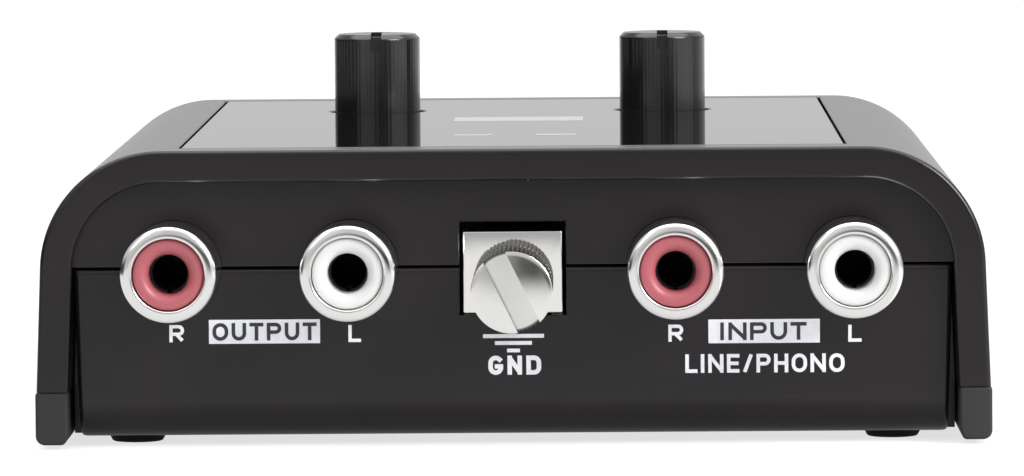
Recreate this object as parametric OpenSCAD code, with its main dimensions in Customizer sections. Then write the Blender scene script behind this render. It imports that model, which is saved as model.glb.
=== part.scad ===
// Desktop phono preamp: an arched case over a tray, with four phono sockets and a ground
// terminal on the rear wall, two rotary controls on the top plate, and the switch, button,
// lamp and power inlet on the front wall.
// +Z is up, the rear wall faces -Y, and the rubber feet stand on z = 0.

/* [Case] */
// Depth of the case from rear rim to front rim
case_d = 93.6; // [92:0.2:96]
// Height of the flat top above the table
case_top = 25.8; // [25.4:0.1:26.2]
// Half the width of the case where its corners meet its sides
case_half = 40.8; // [40.8:0.1:41.4]
// Radius of the two long upper corners
corner_r = 10.4; // [9.6:0.1:10.6]
// Outward lean of the side walls, in degrees
splay = 2.2; // [1.8:0.1:2.6]
// Thickness of the case wall and of the rims
wall = 2.75; // [2.5:0.05:2.8]
// Depth of the end walls behind the rims
recess = 1.6; // [1.2:0.1:2]
// Thickness of the end walls
end_wall = 2; // [1.8:0.1:2.2]
// Height of the line where case and tray meet on the end walls
split_z = 15.6; // [15.4:0.1:15.8]
// Width of the gap along that line
split_gap = 0.25; // [0.15:0.05:0.35]

/* [Tray] */
// Half the width of the tray
tray_half = 37.7; // [37.4:0.1:37.8]
// Height of the tray's underside above the table
tray_z = 0.8; // [0.7:0.05:1]
// Thickness of the tray's floor and sides
tray_wall = 1.8; // [1.6:0.1:2]
// Radius of the tray's lower front and rear edges
tray_r = 3.5; // [2.5:0.1:4]

/* [Side rails and feet] */
// Height of the top of the side rails
rail_top = 5; // [4.6:0.1:5.2]
// Height of the underside of the side rails
rail_z = 0.4; // [0.3:0.05:0.5]
// Step by which the rails stand proud of the case
rail_proud = 0.1; // [0.05:0.05:0.2]
// Radius of a rubber foot at the table
foot_r = 2.3; // [2.2:0.1:2.6]
// Distance of the feet from the middle of the case, sideways
foot_x = 33; // [31:0.5:34]
// Distance of the feet from the rims
foot_inset = 9; // [8:0.5:10]

/* [Top plate] */
// Half the width of the glossy top plate
plate_half = 28.75; // [28:0.25:29]
// Distance of the plate from the rims
plate_inset = 4.5; // [4:0.1:5]
// Thickness of the plate
plate_t = 1.2; // [1:0.1:1.3]
// Width of the seam round the plate
plate_seam = 0.2; // [0.15:0.05:0.25]

/* [Knobs] */
// Distance of each knob from the middle, sideways
knob_x = 13.5; // [13:0.1:15]
// Distance of the knobs from the rear rim
knob_reach = 67.5; // [64:0.5:68]
// Radius of a knob over its ribs
knob_r = 4.05; // [4.05:0.05:4.25]
// Height of a knob above the plate
knob_h = 7.5; // [7:0.1:8]
// Number of ribs round a knob
knob_ribs = 48; // [36:2:52]
// Radius of the holes in the plate
knob_hole_r = 4.6; // [4.6:0.05:4.8]

/* [Phono sockets] */
// Distances of the sockets from the middle, sideways
socket_x = [14, 29.3];
// Height of the sockets' axes
socket_z = 15.6; // [15.4:0.1:15.8]
// Length of a socket in front of its wall
socket_reach = 9.2; // [8.8:0.1:9.6]
// Outer radius of the metal barrel
barrel_r = 4.15; // [4.1:0.01:4.2]
// Wall of the metal barrel
barrel_wall = 0.57; // [0.5:0.01:0.6]
// Radius of the hole for the plug's pin
pin_hole_r = 1.72; // [1.68:0.01:1.76]
// Radius of the round openings in the wall
socket_hole_r = 4.8; // [4.7:0.05:4.9]

/* [Ground terminal] */
// Height of the screw's axis
ground_z = 13.9; // [13.7:0.1:14.1]
// Radius of the screw's head over its knurl
head_r = 3.5; // [3.4:0.05:3.6]
// Length of the screw's head
head_l = 8.4; // [8:0.1:8.6]
// Width of the slot across the head
slot_w = 2.1; // [1.6:0.1:2.2]
// Lean of the slot from the horizontal
slot_angle = 64; // [0:1:90]
// Number of knurls round the head
head_knurls = 32; // [24:2:36]
// Radius of the screw's thread
thread_r = 2; // [1.9:0.05:2]
// Travel of the screw for one turn
thread_pitch = 0.7; // [0.5:0.1:0.7]

/* [Front controls] */
// Length of the selector's travel
selector_travel = 2.5; // [2:0.1:3]
// Distance of the selector from the middle, sideways
selector_x = 8; // [7:0.5:9]
// Radius of the power button
button_r = 3; // [2.8:0.1:3]
// Length of the power button in front of its wall
button_reach = 2.5; // [2.3:0.1:2.5]
// Distance of the power button from the middle, sideways
button_x = 25; // [24:0.5:26]
// Distance of the lamp from the middle, sideways
lamp_x = -4; // [-6:0.5:-3]
// Distance of the power inlet from the middle, sideways
inlet_x = -22; // [-23:0.5:-21]

/* [Circuit board] */
// Height of the board's underside
board_z = 5; // [4.9:0.1:5.1]
// Thickness of the board
board_t = 1.6; // [1.5:0.1:1.6]

/* [Hidden] */
$fn = 96;
cut = 0.05;            // overshoot of a cutting tool past a face
slip = 0.05;           // gap between a moving piece and its guide
loose = 0.15;          // gap between pieces that drop together
black = "#232225";
satin = "#2f2e31";
steel = "#c9c9cc";
front_reach = button_reach - recess;
rear_reach = socket_reach - recess;
rear_y = -(case_d + front_reach - rear_reach) / 2;
front_y = rear_y + case_d;
rear_wall_y = rear_y + recess;
front_wall_y = front_y - recess;
rear_inner_y = rear_wall_y + end_wall;
front_inner_y = front_wall_y - end_wall;
arc_x = case_half - corner_r * cos(splay);
arc_z = case_top - corner_r;
board_top = board_z + board_t;
board_half = 35.3;
board_rear_y = rear_inner_y + 0.4;
board_front_y = front_inner_y - 0.4;
floor_z = tray_z + tray_wall;
web_z = case_top - wall;
plate_z = case_top - plate_t;
knob_y = rear_y + knob_reach;
knob_z = plate_z + 0.6;
knob_top = case_top + knob_h;
shaft_r = 3;
pointer_w = 1;
shaft_top = knob_top - 1.5;
pot_h = 6.8;
pot_size = [9.8, 11.4, pot_h];
tip_y = rear_wall_y - socket_reach;
block_y = rear_inner_y + 1;
block_d = 11;
block_top = 21.4;
insert_r = barrel_r - barrel_wall - slip;
insert_face_r = insert_r - 0.35;
contact_r = 2.25;
contact_hole_r = 1.52;
ground_plate_half = 4.3;
ground_plate_z = [11.5, 18.6];
ground_window_half = 4.6;
ground_window_z = [11.3, 19.4];
ground_plate_t = 1.2;
ground_plate_y = rear_wall_y - 0.1;
washer_t = 0.5;
ground_turns = 5;
thread_l = ground_turns * thread_pitch + ground_plate_t + 1.3;
post_places = [[-31, rear_y + 25], [31, rear_y + 25], [-31, front_y - 25], [31, front_y - 25]];
boss_places = [[-24, rear_y + 27], [24, rear_y + 27], [-24, rear_y + 58], [24, rear_y + 58]];
post_r = 2.8;
tongue_inset = 3;
case_screw_r = 1.25;
board_screw_r = 1.2;
selector_nub = [2.6, 7, 2.2];
selector_body = [12.6, 6.4, 6.6];
inlet_size = [9, 14, 11];
inlet_z = board_top + 6.6;
inlet_hole_r = 3.1;
inlet_pin_r = 1.05;
inlet_depth = 9.5;
button_body = [8.4, 8, 8];

// ---- helpers -------------------------------------------------------------------------

// Extrudes an outline drawn in X and Z from y0 to y1
module along_y(y0, y1)
    translate([0, y1, 0]) rotate([90, 0, 0]) linear_extrude(y1 - y0) children();

// Extrudes an outline drawn in Y and Z from x0 to x1
module along_x(x0, x1)
    translate([x0, 0, 0]) rotate([90, 0, 90]) linear_extrude(x1 - x0) children();

// A rod along Y from y0 to y1 at x, z
module rod_y(x, z, r, y0, y1)
    translate([x, y1, z]) rotate([90, 0, 0]) cylinder(r = r, h = y1 - y0);

// A turned piece whose outline gives radius against y, on an axis at x, z
module turned_y(x, z, outline)
    translate([x, 0, z]) rotate([-90, 0, 0]) rotate_extrude() polygon(outline);

// A box from its lowest to its highest corner
module box(low, high) translate(low) cube(high - low);

// Repeats its children at each place on the floor plan
module at_places(places)
    for (place = places) translate([place[0], place[1], 0]) children();

// A block centred on x with its lowest corner's y and z given
module block(x, y, z, size) translate([x - size[0] / 2, y, z]) cube(size);

// Points along an arc about x, y from one angle to another
function arc_points(x, y, r, from, to, steps) =
    [for (i = [0:steps]) let (a = from + (to - from) * i / steps) [x + r * cos(a), y + r * sin(a)]];

// Half the width of the side wall at height z, set in from the outside
function side_x(inset, z) =
    arc_x + (corner_r - inset) * cos(splay)
    + (arc_z + (corner_r - inset) * sin(splay) - z) * tan(splay);

// Outline of the arch in X and Z, set in from the outside and open below base
module arch(inset, base) {
    reach = corner_r - inset;
    right = [[arc_x, arc_z + reach],
        [arc_x + reach * cos(splay), arc_z + reach * sin(splay)],
        [side_x(inset, base), base]];
    left = [for (i = [2:-1:0]) [-right[i][0], right[i][1]]];
    polygon(concat(right, left));
    for (side = [-1, 1]) translate([side * arc_x, arc_z]) circle(reach);
}

// ---- case ----------------------------------------------------------------------------

// The upper part of an end wall, between the split line and the arch
module upper_end_wall(y0, y1)
    along_y(y0, y1) intersection() {
        arch(wall - 0.4, rail_top);
        translate([-case_half, split_z + split_gap / 2]) square([2 * case_half, case_top]);
    }

// Openings in the rear wall for the sockets and the ground terminal
module rear_openings() {
    for (side = [-1, 1], x = socket_x)
        rod_y(side * x, socket_z, socket_hole_r, rear_y - cut, rear_inner_y + cut);
    box([-ground_window_half, rear_y, ground_window_z[0]],
        [ground_window_half, rear_inner_y + cut, ground_window_z[1]]);
}

// Openings in the front wall for the selector, button, lamp and power inlet
module front_openings() {
    block(selector_x + selector_travel / 2, front_inner_y - cut, split_z - 1.5,
        [selector_nub[0] + selector_travel + 0.8, end_wall + recess, 3]);
    rod_y(button_x, split_z, button_r + 0.3, front_inner_y - cut, front_y);
    rod_y(lamp_x, split_z, 1.6, front_inner_y - cut, front_y);
    block(inlet_x, front_inner_y - cut, board_top - loose,
        [inlet_size[0] + 2 * loose, end_wall + recess, inlet_size[2] + 2 * loose]);
}

// Groove that the side rails' tongues fit, closed at both rims
module rail_groove(side, width, height)
    along_y(rear_y + tongue_inset - loose, front_y - tongue_inset + loose)
        translate([side * side_x(wall / 2, rail_top), rail_top])
            square([width, 2 * height], center = true);

module upper_shell()
    color(black) difference() {
        union() {
            difference() {
                along_y(rear_y, front_y) arch(0, rail_top);
                along_y(rear_y - cut, front_y + cut) arch(wall, rail_top - cut);
            }
            upper_end_wall(rear_wall_y, rear_inner_y);
            upper_end_wall(front_inner_y, front_wall_y);
            at_places(post_places)
                translate([0, 0, board_z - 1]) cylinder(r = post_r, h = web_z - board_z + 1.2);
        }
        box([-plate_half - plate_seam, rear_y + plate_inset - plate_seam, plate_z],
            [plate_half + plate_seam, front_y - plate_inset + plate_seam, case_top + 1]);
        for (side = [-1, 1])
            translate([side * knob_x, knob_y, web_z - cut])
                cylinder(r = knob_hole_r + 0.4, h = wall);
        at_places(post_places)
            translate([0, 0, board_z - 2]) cylinder(r = case_screw_r, h = 12);
        for (side = [-1, 1]) rail_groove(side, 1.1, 1.6);
        rear_openings();
        front_openings();
    }

// Outline of the tray in Y and Z, set in from its outside
module tray_outline(inset, top) {
    r = tray_r - inset;
    y0 = rear_wall_y + inset;
    y1 = front_wall_y - inset;
    z0 = tray_z + inset;
    translate([y0, z0 + r]) square([y1 - y0, top - z0 - r]);
    translate([y0 + r, z0]) square([y1 - y0 - 2 * r, r + cut]);
    for (y = [y0 + r, y1 - r]) translate([y, z0 + r]) circle(r);
}

module lower_tray() {
    top = split_z - split_gap / 2;
    color(black) difference() {
        union() {
            difference() {
                along_x(-tray_half, tray_half) tray_outline(0, top);
                along_x(-tray_half + tray_wall, tray_half - tray_wall)
                    tray_outline(tray_wall, top + cut);
            }
            at_places(post_places)
                translate([0, 0, floor_z - cut])
                    cylinder(r = post_r + 0.4, h = board_z - 1.1 - floor_z + cut);
            at_places(boss_places)
                translate([0, 0, floor_z - cut]) cylinder(r = 2.6, h = board_z - floor_z + cut);
        }
        at_places(post_places) {
            translate([0, 0, tray_z - cut]) cylinder(r = 2.6, h = 1.6);
            translate([0, 0, tray_z]) cylinder(r = 1.6, h = 5);
        }
        at_places(boss_places)
            translate([0, 0, tray_z + 0.8]) cylinder(r = board_screw_r, h = 6);
        at_places(foot_places()) translate([0, 0, tray_z - cut]) cylinder(r = 2.8, h = 0.6 + cut);
        rear_openings();
        front_openings();
    }
}

// Outline of a side rail in X and Z, for the right side
module rail_outline() {
    outer = side_x(0, rail_top) + rail_proud;
    inner = side_x(wall, rail_top);
    r = 0.8;
    polygon([[inner, rail_top], [inner, rail_z + 1.1], [inner + 0.75, rail_z],
        [outer - r, rail_z], [outer - r, rail_z + r], [outer, rail_z + r], [outer, rail_top]]);
    translate([outer - r, rail_z + r]) circle(r);
}

module side_rail(side)
    color(satin) mirror([side < 0 ? 1 : 0, 0, 0]) {
        along_y(rear_y, front_y) rail_outline();
        along_y(rear_y + tongue_inset, front_y - tongue_inset)
            translate([side_x(wall / 2, rail_top) - 0.45, rail_top - cut]) square([0.9, 1.4 + cut]);
    }

module left_side_rail() side_rail(-1);
module right_side_rail() side_rail(1);

function foot_places() = [for (y = [rear_y + foot_inset, front_y - foot_inset], side = [-1, 1])
    [side * foot_x, y]];

module rubber_feet()
    color("#19191b") at_places(foot_places()) {
        cylinder(r1 = foot_r, r2 = foot_r + 0.3, h = tray_z);
        translate([0, 0, tray_z - cut]) cylinder(r = 2.6, h = 0.55 + cut);
    }

module case_screws()
    color(steel) at_places(post_places)
        difference() {
            union() {
                translate([0, 0, tray_z + 0.2]) cylinder(r1 = 2.2, r2 = 2.4, h = 1.35);
                translate([0, 0, tray_z + 1]) cylinder(r = case_screw_r - 0.02, h = 10);
            }
            translate([0, 0, tray_z]) for (turn = [0, 90])
                rotate([0, 0, turn]) cube([2.4, 0.6, 1.8], center = true);
        }

module top_plate()
    color("#101012") difference() {
        box([-plate_half, rear_y + plate_inset, plate_z],
            [plate_half, front_y - plate_inset, case_top]);
        for (side = [-1, 1])
            translate([side * knob_x, knob_y, plate_z - cut]) cylinder(r = knob_hole_r, h = 2 * plate_t);
    }

// ---- rotary controls -----------------------------------------------------------------

// Ribbed outline of a knob, seen from above
module ribbed_circle(r, count, depth)
    difference() {
        circle(r);
        for (i = [0:count - 1])
            rotate((i + 0.5) * 360 / count) translate([r + depth, 0]) circle(2 * depth, $fn = 24);
    }

module knob(side) {
    edge = 0.45;
    guard = knob_r + 0.05;
    top = knob_top;
    translate([side * knob_x, knob_y, 0])
        color(black) difference() {
            intersection() {
                translate([0, 0, knob_z])
                    linear_extrude(top - knob_z) ribbed_circle(knob_r, knob_ribs, 0.1);
                rotate_extrude() polygon(concat(
                    [[0, knob_z - 1], [guard, knob_z - 1], [guard, top - edge]],
                    arc_points(knob_r - edge, top - edge, edge, 25, 80, 3),
                    [[knob_r - 2 * edge, top], [0, top]]));
            }
            translate([0, 0, knob_z - cut])
                cylinder(r = shaft_r + slip, h = shaft_top + slip - knob_z + cut);
            // pointer groove across the top and down the side towards the rear
            translate([-pointer_w / 2, 0, 0]) along_x(0, pointer_w)
                polygon([[0, top - 0.35], [0.3 - knob_r, top - 0.35], [0.3 - knob_r, top - 1.6],
                    [-knob_r - 1, top - 1.6], [-knob_r - 1, top + 1], [0, top + 1]]);
        }
}

module shaft(side)
    translate([side * knob_x, knob_y, board_top + 1.4])
        color(steel) difference() {
            cylinder(r = shaft_r, h = shaft_top - board_top - 1.4);
            translate([-shaft_r, shaft_r - 1.5, knob_z - board_top]) cube([2 * shaft_r, 2, 20]);
        }

module potentiometer(side)
    color("#3a5a44") difference() {
        union() {
            block(side * knob_x, knob_y - pot_size[1] / 2, board_top, pot_size);
            translate([side * knob_x, knob_y, board_top + pot_h - cut])
                cylinder(r = 3.9, h = 1.6 + cut);
        }
        translate([side * knob_x, knob_y, board_top + 1.3])
            cylinder(r = shaft_r + slip, h = pot_h + 2);
    }

module gain_knob() knob(-1);
module gain_shaft() shaft(-1);
module gain_potentiometer() potentiometer(-1);
module level_knob() knob(1);
module level_shaft() shaft(1);
module level_potentiometer() potentiometer(1);

// ---- phono sockets -------------------------------------------------------------------

// The moulded block that holds a pair of sockets on the circuit board
module socket_block(side) {
    middle = side * (socket_x[0] + socket_x[1]) / 2;
    width = socket_x[1] - socket_x[0] + 11.2;
    color("#1c1c1f") difference() {
        block(middle, block_y, board_top, [width, block_d, block_top - board_top]);
        for (x = socket_x) {
            rod_y(side * x, socket_z, barrel_r + slip, block_y - cut, block_y + 3);
            rod_y(side * x, socket_z, contact_r + slip, block_y, block_y + block_d - 2);
            block(side * x, block_y + block_d - 3.5, board_top - cut, [1.2, 1.2, socket_z - board_top]);
        }
    }
}

// Turned metal barrel with a rolled lip and a flange that sits behind the wall
module barrel(x) {
    lip = barrel_wall / 2;
    flange = [rear_inner_y + 0.05, block_y - 0.05];
    bore = barrel_r - barrel_wall;
    color(steel) turned_y(x, socket_z, concat(
        arc_points(barrel_r - lip, tip_y + lip, lip, 180, 360, 8),
        [[barrel_r, rear_wall_y], [barrel_r + 0.2, rear_wall_y], [barrel_r + 0.2, flange[0]],
        [barrel_r + 1.1, flange[0]], [barrel_r + 1.1, flange[1]], [barrel_r, flange[1]],
        [barrel_r, block_y + 2.9], [bore, block_y + 2.9]]));
}

// Coloured insert with a rounded face, stepped to leave a groove inside the lip
module insert(x, shade) {
    face = tip_y + 0.25;
    round_r = 0.6;
    step = face + 2;
    seat = face + 3;
    rear = block_y + 2.8;
    bore = contact_r + slip;
    color(shade) turned_y(x, socket_z, concat(
        [[bore, rear], [bore, seat], [pin_hole_r, seat]],
        arc_points(pin_hole_r + round_r, face + round_r, round_r, 180, 270, 6),
        arc_points(insert_face_r - round_r, face + round_r, round_r, 270, 360, 6),
        [[insert_face_r, step], [insert_r, step], [insert_r, rear]]));
}

module output_socket_block() socket_block(-1);
module input_socket_block() socket_block(1);
module output_right_barrel() barrel(-socket_x[1]);
module output_left_barrel() barrel(-socket_x[0]);
module input_right_barrel() barrel(socket_x[0]);
module input_left_barrel() barrel(socket_x[1]);
module output_right_insert() insert(-socket_x[1], "#b8323f");
module output_left_insert() insert(-socket_x[0], "#ececec");
module input_right_insert() insert(socket_x[0], "#b8323f");
module input_left_insert() insert(socket_x[1], "#ececec");

// Split spring sleeves that grip the plugs' pins, each with a tail into the board
module centre_contacts() {
    front = tip_y + 3.3;
    rear = block_y + block_d - 2.1;
    color(steel) for (side = [-1, 1], x = socket_x) {
        difference() {
            rod_y(side * x, socket_z, contact_r, front, rear);
            rod_y(side * x, socket_z, contact_hole_r, front - cut, rear - 1);
            block(side * x, front - cut, socket_z - contact_r - 1, [0.4, 5, 2 * contact_r + 2]);
        }
        block(side * x, rear - 1.3, board_z - 0.6, [0.8, 0.8, socket_z - board_z - 1]);
    }
}

// ---- ground terminal -----------------------------------------------------------------

module ground_bracket() {
    cheek_l = 8;
    plate_h = ground_plate_z[1] - ground_plate_z[0];
    color(steel) difference() {
        union() {
            box([-ground_plate_half, ground_plate_y, ground_plate_z[0]],
                [ground_plate_half, ground_plate_y + ground_plate_t, ground_plate_z[1]]);
            for (side = [-1, 1]) {
                x = side * (ground_plate_half - 0.5);
                block(x, ground_plate_y + cut, ground_plate_z[0], [1, cheek_l, plate_h]);
                block(x, ground_plate_y + cheek_l - 3, board_z - 0.6, [1, 3, 8]);
            }
        }
        rod_y(0, ground_z, thread_r + slip, ground_plate_y - 1, ground_plate_y + 2);
    }
}

module ground_washer()
    color(steel) difference() {
        rod_y(0, ground_z, head_r - 0.2, ground_plate_y - washer_t, ground_plate_y);
        rod_y(0, ground_z, thread_r + slip, ground_plate_y - 1, ground_plate_y + 1);
    }

module ground_screw() {
    back = ground_plate_y - washer_t;
    face = back - head_l;
    edge = 0.35;
    color(steel) {
        difference() {
            intersection() {
                along_y(face, back) translate([0, ground_z]) ribbed_circle(head_r, head_knurls, 0.09);
                turned_y(0, ground_z, [[0, face], [head_r - edge, face], [head_r + 0.1, face + edge + 0.1],
                    [head_r + 0.1, back - edge - 0.1], [head_r - edge, back], [0, back]]);
            }
            translate([0, face, ground_z]) rotate([0, slot_angle, 0])
                cube([3 * head_r, 3, slot_w], center = true);
        }
        rod_y(0, ground_z, thread_r, back - cut, ground_plate_y + thread_l);
    }
}

// ---- front controls ------------------------------------------------------------------

module selector_body() {
    y0 = front_inner_y - 0.3 - selector_body[1];
    middle = selector_x + selector_travel / 2;
    color("#8d8f94") difference() {
        union() {
            block(middle, y0, split_z - selector_body[2] / 2, selector_body);
            for (side = [-1, 1])
                block(middle + side * 5.5, y0 + 1, board_z - 0.6, [1, 3, split_z - board_z - 1]);
        }
        block(middle, y0 + selector_body[1] - 3.4, split_z - 1.2,
            [selector_nub[0] + selector_travel + 0.4, 4, 2.4]);
    }
}

module selector_slider()
    color(satin) {
        block(selector_x, front_inner_y - 3, split_z - selector_nub[2] / 2, selector_nub);
        for (i = [-1:1])
            block(selector_x + 0.7 * i, front_inner_y + selector_nub[1] - 3 - cut,
                split_z - selector_nub[2] / 2, [0.35, 0.25, selector_nub[2]]);
    }

module power_switch_body() {
    y0 = front_inner_y - 2.4 - button_body[1];
    color("#2b3a55") difference() {
        union() {
            block(button_x, y0, split_z - button_body[2] / 2, button_body);
            for (side = [-1, 1])
                block(button_x + side * 3.5, y0 + 2, board_z - 0.6, [1, 4, split_z - board_z - 1]);
        }
        rod_y(button_x, split_z, 1.5 + slip, y0 + 1, front_inner_y);
    }
}

module power_button() {
    face = front_wall_y + button_reach;
    edge = 0.4;
    color(satin) {
        turned_y(button_x, split_z, [[0, front_wall_y - end_wall], [button_r, front_wall_y - end_wall],
            [button_r, face - edge], [button_r - edge, face], [0, face]]);
        rod_y(button_x, split_z, 1.5, front_inner_y - 6, front_inner_y + cut);
    }
}

// Lamp with two bent leads down to the board
module power_lamp() {
    y1 = front_inner_y - 0.5;
    color("#c23b30") {
        rod_y(lamp_x, split_z, 1.5, y1 - 4, y1 - 1);
        translate([lamp_x, y1 - 1, split_z]) sphere(1.5);
        rod_y(lamp_x, split_z, 1.9, y1 - 5, y1 - 4 + cut);
        for (side = [-1, 1]) {
            box([lamp_x + side * 1.27 - 0.25, y1 - 7, split_z - 0.25],
                [lamp_x + side * 1.27 + 0.25, y1 - 5 + cut, split_z + 0.25]);
            block(lamp_x + side * 1.27, y1 - 7, board_z - 0.6, [0.5, 0.5, split_z - board_z + 0.85]);
        }
    }
}

module lamp_lens()
    color("#d9dde2") turned_y(lamp_x, split_z, [[0, front_inner_y + 0.4], [1.58, front_inner_y + 0.4],
        [1.58, front_wall_y + 0.1], [1.2, front_wall_y + 0.35], [0, front_wall_y + 0.45]]);

module power_inlet() {
    y1 = front_wall_y;
    color("#17171a") difference() {
        block(inlet_x, y1 - inlet_size[1], board_top, inlet_size);
        rod_y(inlet_x, inlet_z, inlet_hole_r, y1 - inlet_depth, y1 + cut);
        rod_y(inlet_x, inlet_z, inlet_pin_r + 0.3, y1 - inlet_size[1] + 1, y1 - inlet_depth + cut);
    }
}

// Centre pin with a thicker root that is moulded into the housing
module inlet_pin() {
    root = inlet_pin_r + 0.3;
    rear = front_wall_y - inlet_size[1] + 1;
    shoulder = front_wall_y - inlet_depth;
    color(steel) turned_y(inlet_x, inlet_z, [[0, rear], [root, rear], [root, shoulder],
        [inlet_pin_r, shoulder], [inlet_pin_r, front_wall_y - 1],
        [inlet_pin_r - 0.5, front_wall_y - 0.5], [0, front_wall_y - 0.5]]);
}

// ---- circuit board and its parts -----------------------------------------------------

module circuit_board() {
    color("#1f5136") difference() {
        box([-board_half, board_rear_y, board_z], [board_half, board_front_y, board_top]);
        at_places(post_places) translate([0, 0, board_z - 1]) cylinder(r = post_r + 0.4, h = 4);
        at_places(boss_places) translate([0, 0, board_z - 1]) cylinder(r = 1.5, h = 4);
        for (side = [-1, 1], x = socket_x)
            block(side * x, block_y + block_d - 3.6, board_z - 1, [1.2, 1.2, 4]);
        for (side = [-1, 1])
            block(side * (ground_plate_half - 0.5), ground_plate_y + 4.8, board_z - 1, [1.4, 3.4, 4]);
        for (side = [-1, 1])
            block(selector_x + selector_travel / 2 + side * 5.5, front_inner_y - 5.9, board_z - 1,
                [1.4, 3.4, 4]);
        for (side = [-1, 1])
            block(button_x + side * 3.5, front_inner_y - 8.6, board_z - 1, [1.4, 4.4, 4]);
        for (side = [-1, 1])
            block(lamp_x + side * 1.27, front_inner_y - 7.7, board_z - 1, [0.9, 0.9, 4]);
    }
}

module board_screws()
    color(steel) at_places(boss_places)
        difference() {
            union() {
                translate([0, 0, board_top]) cylinder(r = 2.3, h = 1.4);
                translate([0, 0, board_top - 4.6]) cylinder(r = board_screw_r - 0.02, h = 5);
            }
            translate([0, 0, board_top + 1.4]) for (turn = [0, 90])
                rotate([0, 0, turn]) cube([2.2, 0.5, 1.2], center = true);
        }

// Two dual amplifiers in eight-pin cases
module op_amps()
    color("#202022") for (x = [-7, 7]) {
        block(x, rear_y + 30, board_top + 0.5, [6.4, 9.6, 3.2]);
        for (side = [-1, 1], i = [0:3])
            block(x + side * 3.4, rear_y + 30.6 + 2.54 * i, board_top, [0.6, 0.6, 2.2]);
    }

module electrolytic_capacitors()
    color("#27355e") for (place = [[-30, rear_y + 37], [-21, rear_y + 40], [30, rear_y + 37],
            [21, rear_y + 40], [0, rear_y + 50]])
        translate([place[0], place[1], board_top]) {
            cylinder(r = 3.15, h = 10.2);
            translate([0, 0, 10]) cylinder(r1 = 3.15, r2 = 2.8, h = 0.8);
        }

module film_capacitors()
    color("#9a2f2b") for (x = [-19, -14, 14, 19])
        block(x, rear_y + 25.5, board_top, [3, 7.2, 6.4]);

// Axial resistors lying in rows either side of the amplifiers
module resistors()
    color("#c8a877") for (side = [-1, 1], i = [0:3])
        translate([side * 14, rear_y + 38 + 3.2 * i, board_top + 1.25]) rotate([0, 90, 0]) {
            translate([0, 0, -2.2]) cylinder(r = 1.15, h = 4.4);
            translate([0, 0, -3]) cylinder(r = 0.3, h = 6);
        }

module voltage_regulator()
    color("#202022") {
        block(0, front_y - 26, board_top + 3, [9.4, 3.6, 8.4]);
        for (x = [-2.5, 0, 2.5]) block(x, front_y - 24.4, board_top, [0.9, 0.6, 3.2]);
    }

module regulator_heatsink()
    color("#8f9194") {
        block(0, front_y - 28, board_top + 0.2, [12, 1.9, 13.4]);
        for (x = [-5.5:2.75:5.5]) block(x, front_y - 31.5, board_top + 0.2, [0.9, 3.6, 13.4]);
    }

upper_shell();
lower_tray();
left_side_rail();
right_side_rail();
rubber_feet();
case_screws();
top_plate();
gain_knob();
gain_shaft();
gain_potentiometer();
level_knob();
level_shaft();
level_potentiometer();
circuit_board();
board_screws();
output_socket_block();
input_socket_block();
output_right_barrel();
output_left_barrel();
input_right_barrel();
input_left_barrel();
output_right_insert();
output_left_insert();
input_right_insert();
input_left_insert();
centre_contacts();
ground_bracket();
ground_washer();
ground_screw();
selector_body();
selector_slider();
power_switch_body();
power_button();
power_lamp();
lamp_lens();
power_inlet();
inlet_pin();
op_amps();
electrolytic_capacitors();
film_capacitors();
resistors();
voltage_regulator();
regulator_heatsink();
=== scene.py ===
"""Looks for the desktop phono preamp, seen from its rear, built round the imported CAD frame."""

import math

import bmesh
import bpy
from mathutils import Matrix, Vector


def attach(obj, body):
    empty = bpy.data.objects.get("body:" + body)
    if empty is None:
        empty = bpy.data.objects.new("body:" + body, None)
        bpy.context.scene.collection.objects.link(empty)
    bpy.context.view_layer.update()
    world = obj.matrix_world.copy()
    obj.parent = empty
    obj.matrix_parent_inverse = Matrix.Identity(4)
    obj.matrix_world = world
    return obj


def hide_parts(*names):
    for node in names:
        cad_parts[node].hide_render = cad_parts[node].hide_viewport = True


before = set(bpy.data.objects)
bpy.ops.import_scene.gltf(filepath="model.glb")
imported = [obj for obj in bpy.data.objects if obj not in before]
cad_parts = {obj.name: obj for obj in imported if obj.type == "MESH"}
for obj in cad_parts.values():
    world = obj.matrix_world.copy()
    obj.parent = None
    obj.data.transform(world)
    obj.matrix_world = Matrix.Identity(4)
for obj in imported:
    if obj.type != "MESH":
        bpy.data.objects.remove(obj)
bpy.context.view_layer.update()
scene = bpy.context.scene
MM = 0.001
SHARP_ANGLE = math.radians(32)

# ---- sizes in mm, as in the part's source -------------------------------------------------

case_d, case_top, case_half, corner_r = 93.6, 25.8, 40.8, 10.4
splay = math.radians(2.2)
wall, recess, end_wall = 2.75, 1.6, 2.0
split_z = 15.6
tray_z, tray_wall, tray_r = 0.8, 1.8, 3.5
rail_top, rail_z, rail_proud = 5.0, 0.4, 0.1
foot_r, foot_x, foot_inset = 2.3, 33.0, 9.0
plate_half, plate_inset, plate_t = 28.75, 4.5, 1.2
knob_x, knob_reach, knob_r, knob_h, knob_hole_r = 13.5, 67.5, 4.05, 7.5, 4.6
socket_x, socket_z, socket_reach = (14.0, 29.3), 15.6, 9.2
barrel_wall, pin_hole_r = 0.57, 1.72
ground_z, head_r, head_l, slot_w = 13.9, 3.5, 8.4, 2.1
slot_angle = math.radians(64)
thread_r, thread_pitch = 2.0, 0.7
window_half, window_z = 4.6, (11.3, 19.4)
ground_plate_half, ground_plate_z = 4.3, (11.5, 18.6)
selector_x, selector_travel = 8.0, 2.5
button_r, button_reach, button_x = 3.0, 2.5, 25.0
lamp_x, lamp_hole_r, lens_r = -4.0, 1.6, 1.58
inlet_x, inlet_half, inlet_d, inlet_h, inlet_hole_r = -22.0, 4.5, 14.0, 11.0, 3.1
nub_w, nub_h, nub_l = 2.6, 2.2, 7
post_r, seat_r, boss_r = 2.8, 3.2, 2.6

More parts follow.
